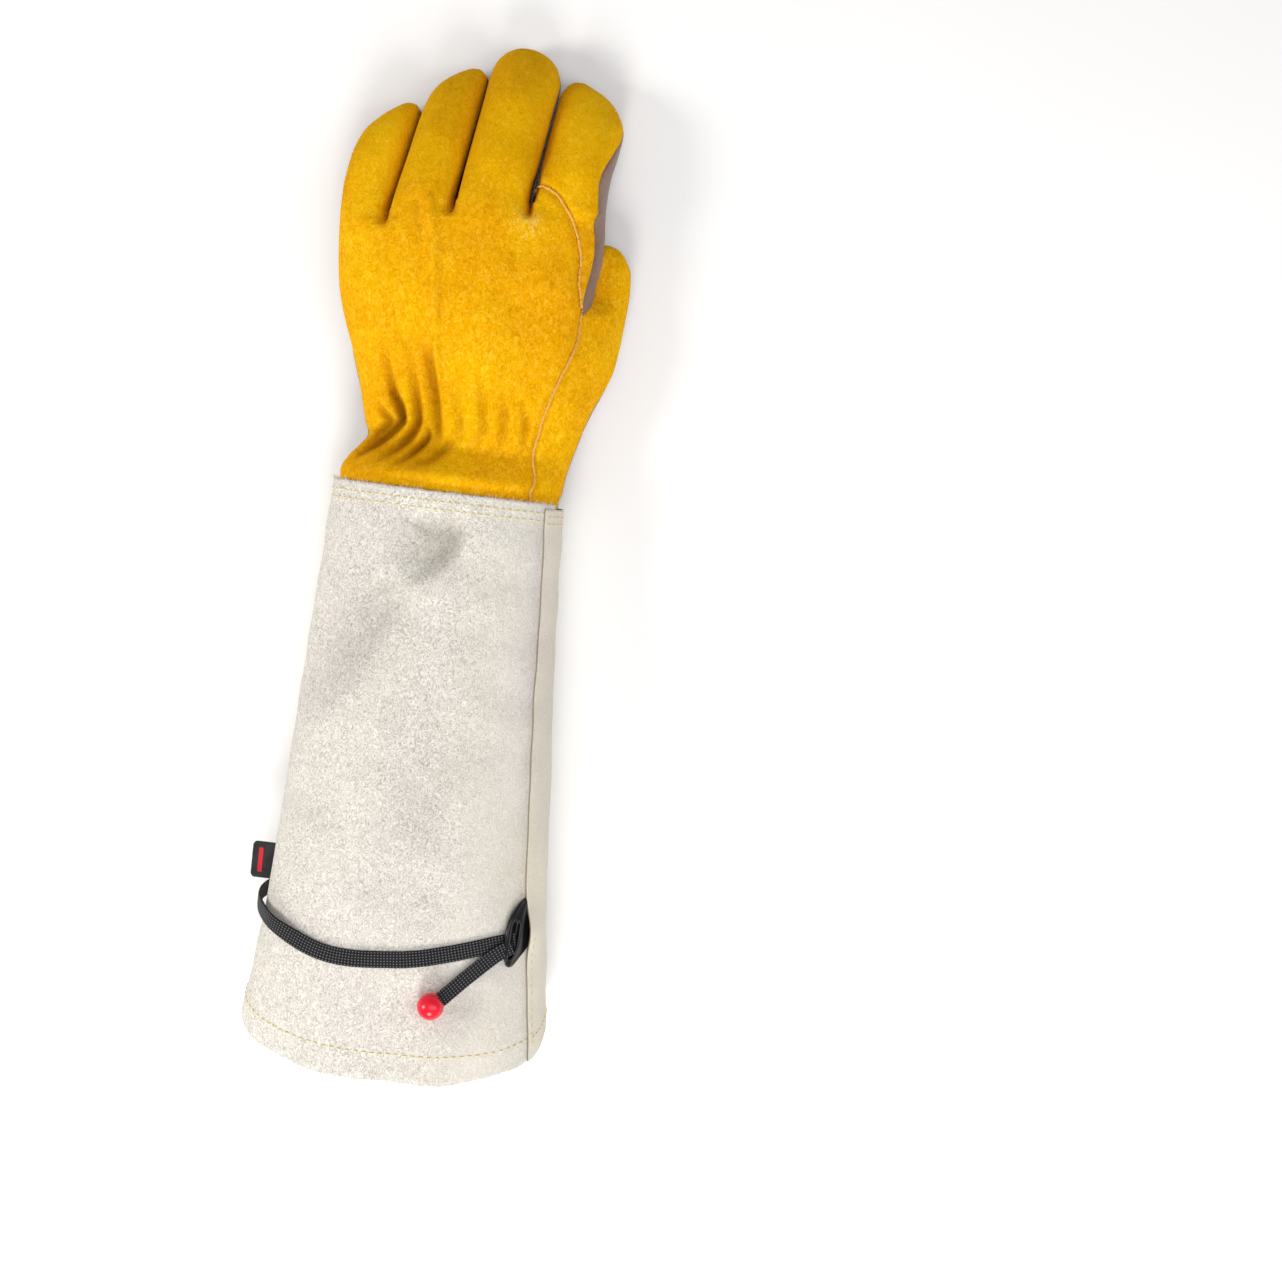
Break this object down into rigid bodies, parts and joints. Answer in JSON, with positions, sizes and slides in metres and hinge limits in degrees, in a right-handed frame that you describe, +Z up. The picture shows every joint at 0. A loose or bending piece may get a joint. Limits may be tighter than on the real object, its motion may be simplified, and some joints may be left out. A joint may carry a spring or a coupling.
{
  "type": "gardening glove",
  "caption": "Left-hand leather gardening glove with a long gauntlet: suede back, brown palm, gathered wrist, pale split-leather cuff, webbing strap, slider buckle, red stopper ball",
  "frame": {"origin": "on the resting surface under the middle of the gauntlet, on the flat of its underside", "axes": "+Y towards the fingertips, +X towards the thumb side, +Z up out of the back of the hand"},
  "size_m": [0.1509, 0.4856, 0.0859],
  "materials": {
    "yellow_suede": "napped suede",
    "brown_leather": "matt grain",
    "white_split_leather": "rough split",
    "black_webbing": "woven",
    "black_plastic": "gloss",
    "red_plastic": "gloss",
    "black_label": "satin"
  },
  "bodies": {
    "root": {"back_panel": "yellow_suede", "index_back": "yellow_suede", "thumb_panel": "yellow_suede", "palm_panel": "brown_leather", "sidewall_little_ring": "brown_leather", "sidewall_ring_middle": "brown_leather", "sidewall_middle_index": "brown_leather", "cuff_panel": "white_split_leather", "cuff_side_band": "white_split_leather", "strap": "black_webbing", "strap_tail": "black_webbing", "buckle": "black_plastic", "ball": "red_plastic", "label_tab": "black_label"}
  },
  "joints": []
}
